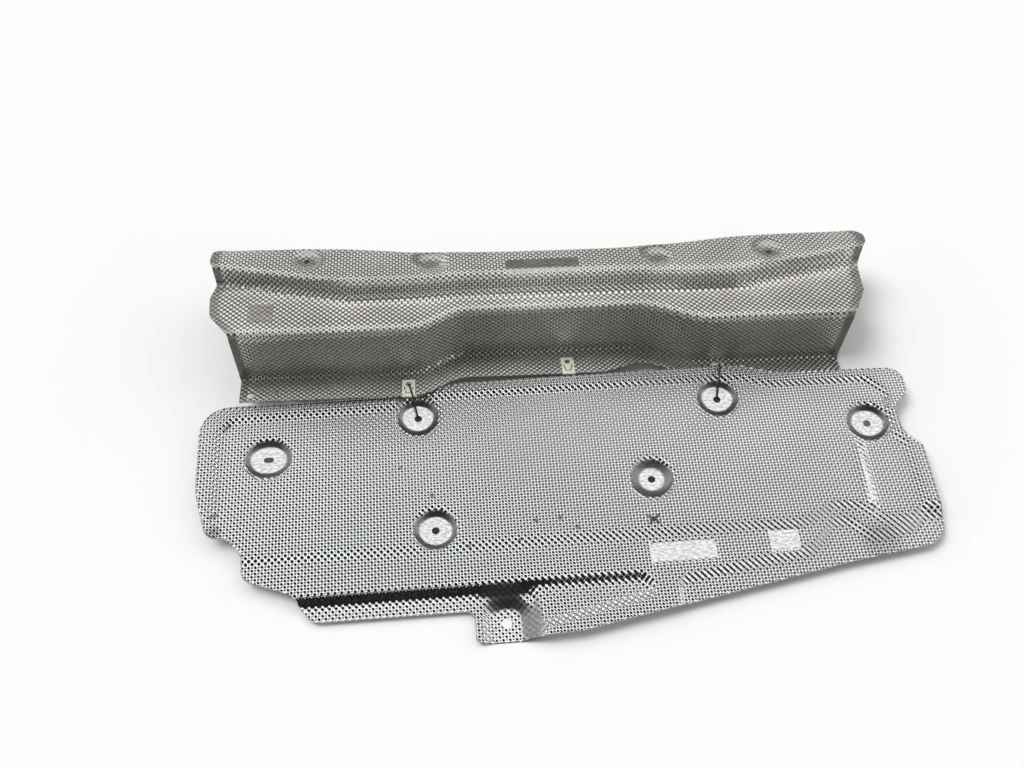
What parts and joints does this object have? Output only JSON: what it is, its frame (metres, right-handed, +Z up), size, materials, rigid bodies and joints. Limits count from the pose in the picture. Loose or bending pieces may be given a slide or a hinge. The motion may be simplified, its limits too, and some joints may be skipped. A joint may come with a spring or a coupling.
{
  "type": "exhaust heat shield",
  "caption": "Stamped, embossed aluminium exhaust heat shield set: a flat floor panel and a tunnel panel with spring edge clips, tied together at their fixing holes.",
  "frame": {"origin": "on the floor under the middle of the whole set's box", "axes": "+X along the flat shield to its right end, +Y to the rear, towards the tunnel shield, +Z up"},
  "size_m": [0.818, 0.484, 0.1114],
  "materials": {
    "bright_sheet": "embossed, bright",
    "dark_sheet": "embossed, heat-dulled",
    "clip": "passivated spring steel",
    "tie": "smooth nylon"
  },
  "bodies": {
    "root": {"flat_shield": "bright_sheet", "tunnel_shield": "dark_sheet", "edge_clip_left": "clip", "edge_clip_middle": "clip", "edge_clip_right": "clip", "tie_left": "tie", "tie_right": "tie"}
  },
  "joints": []
}
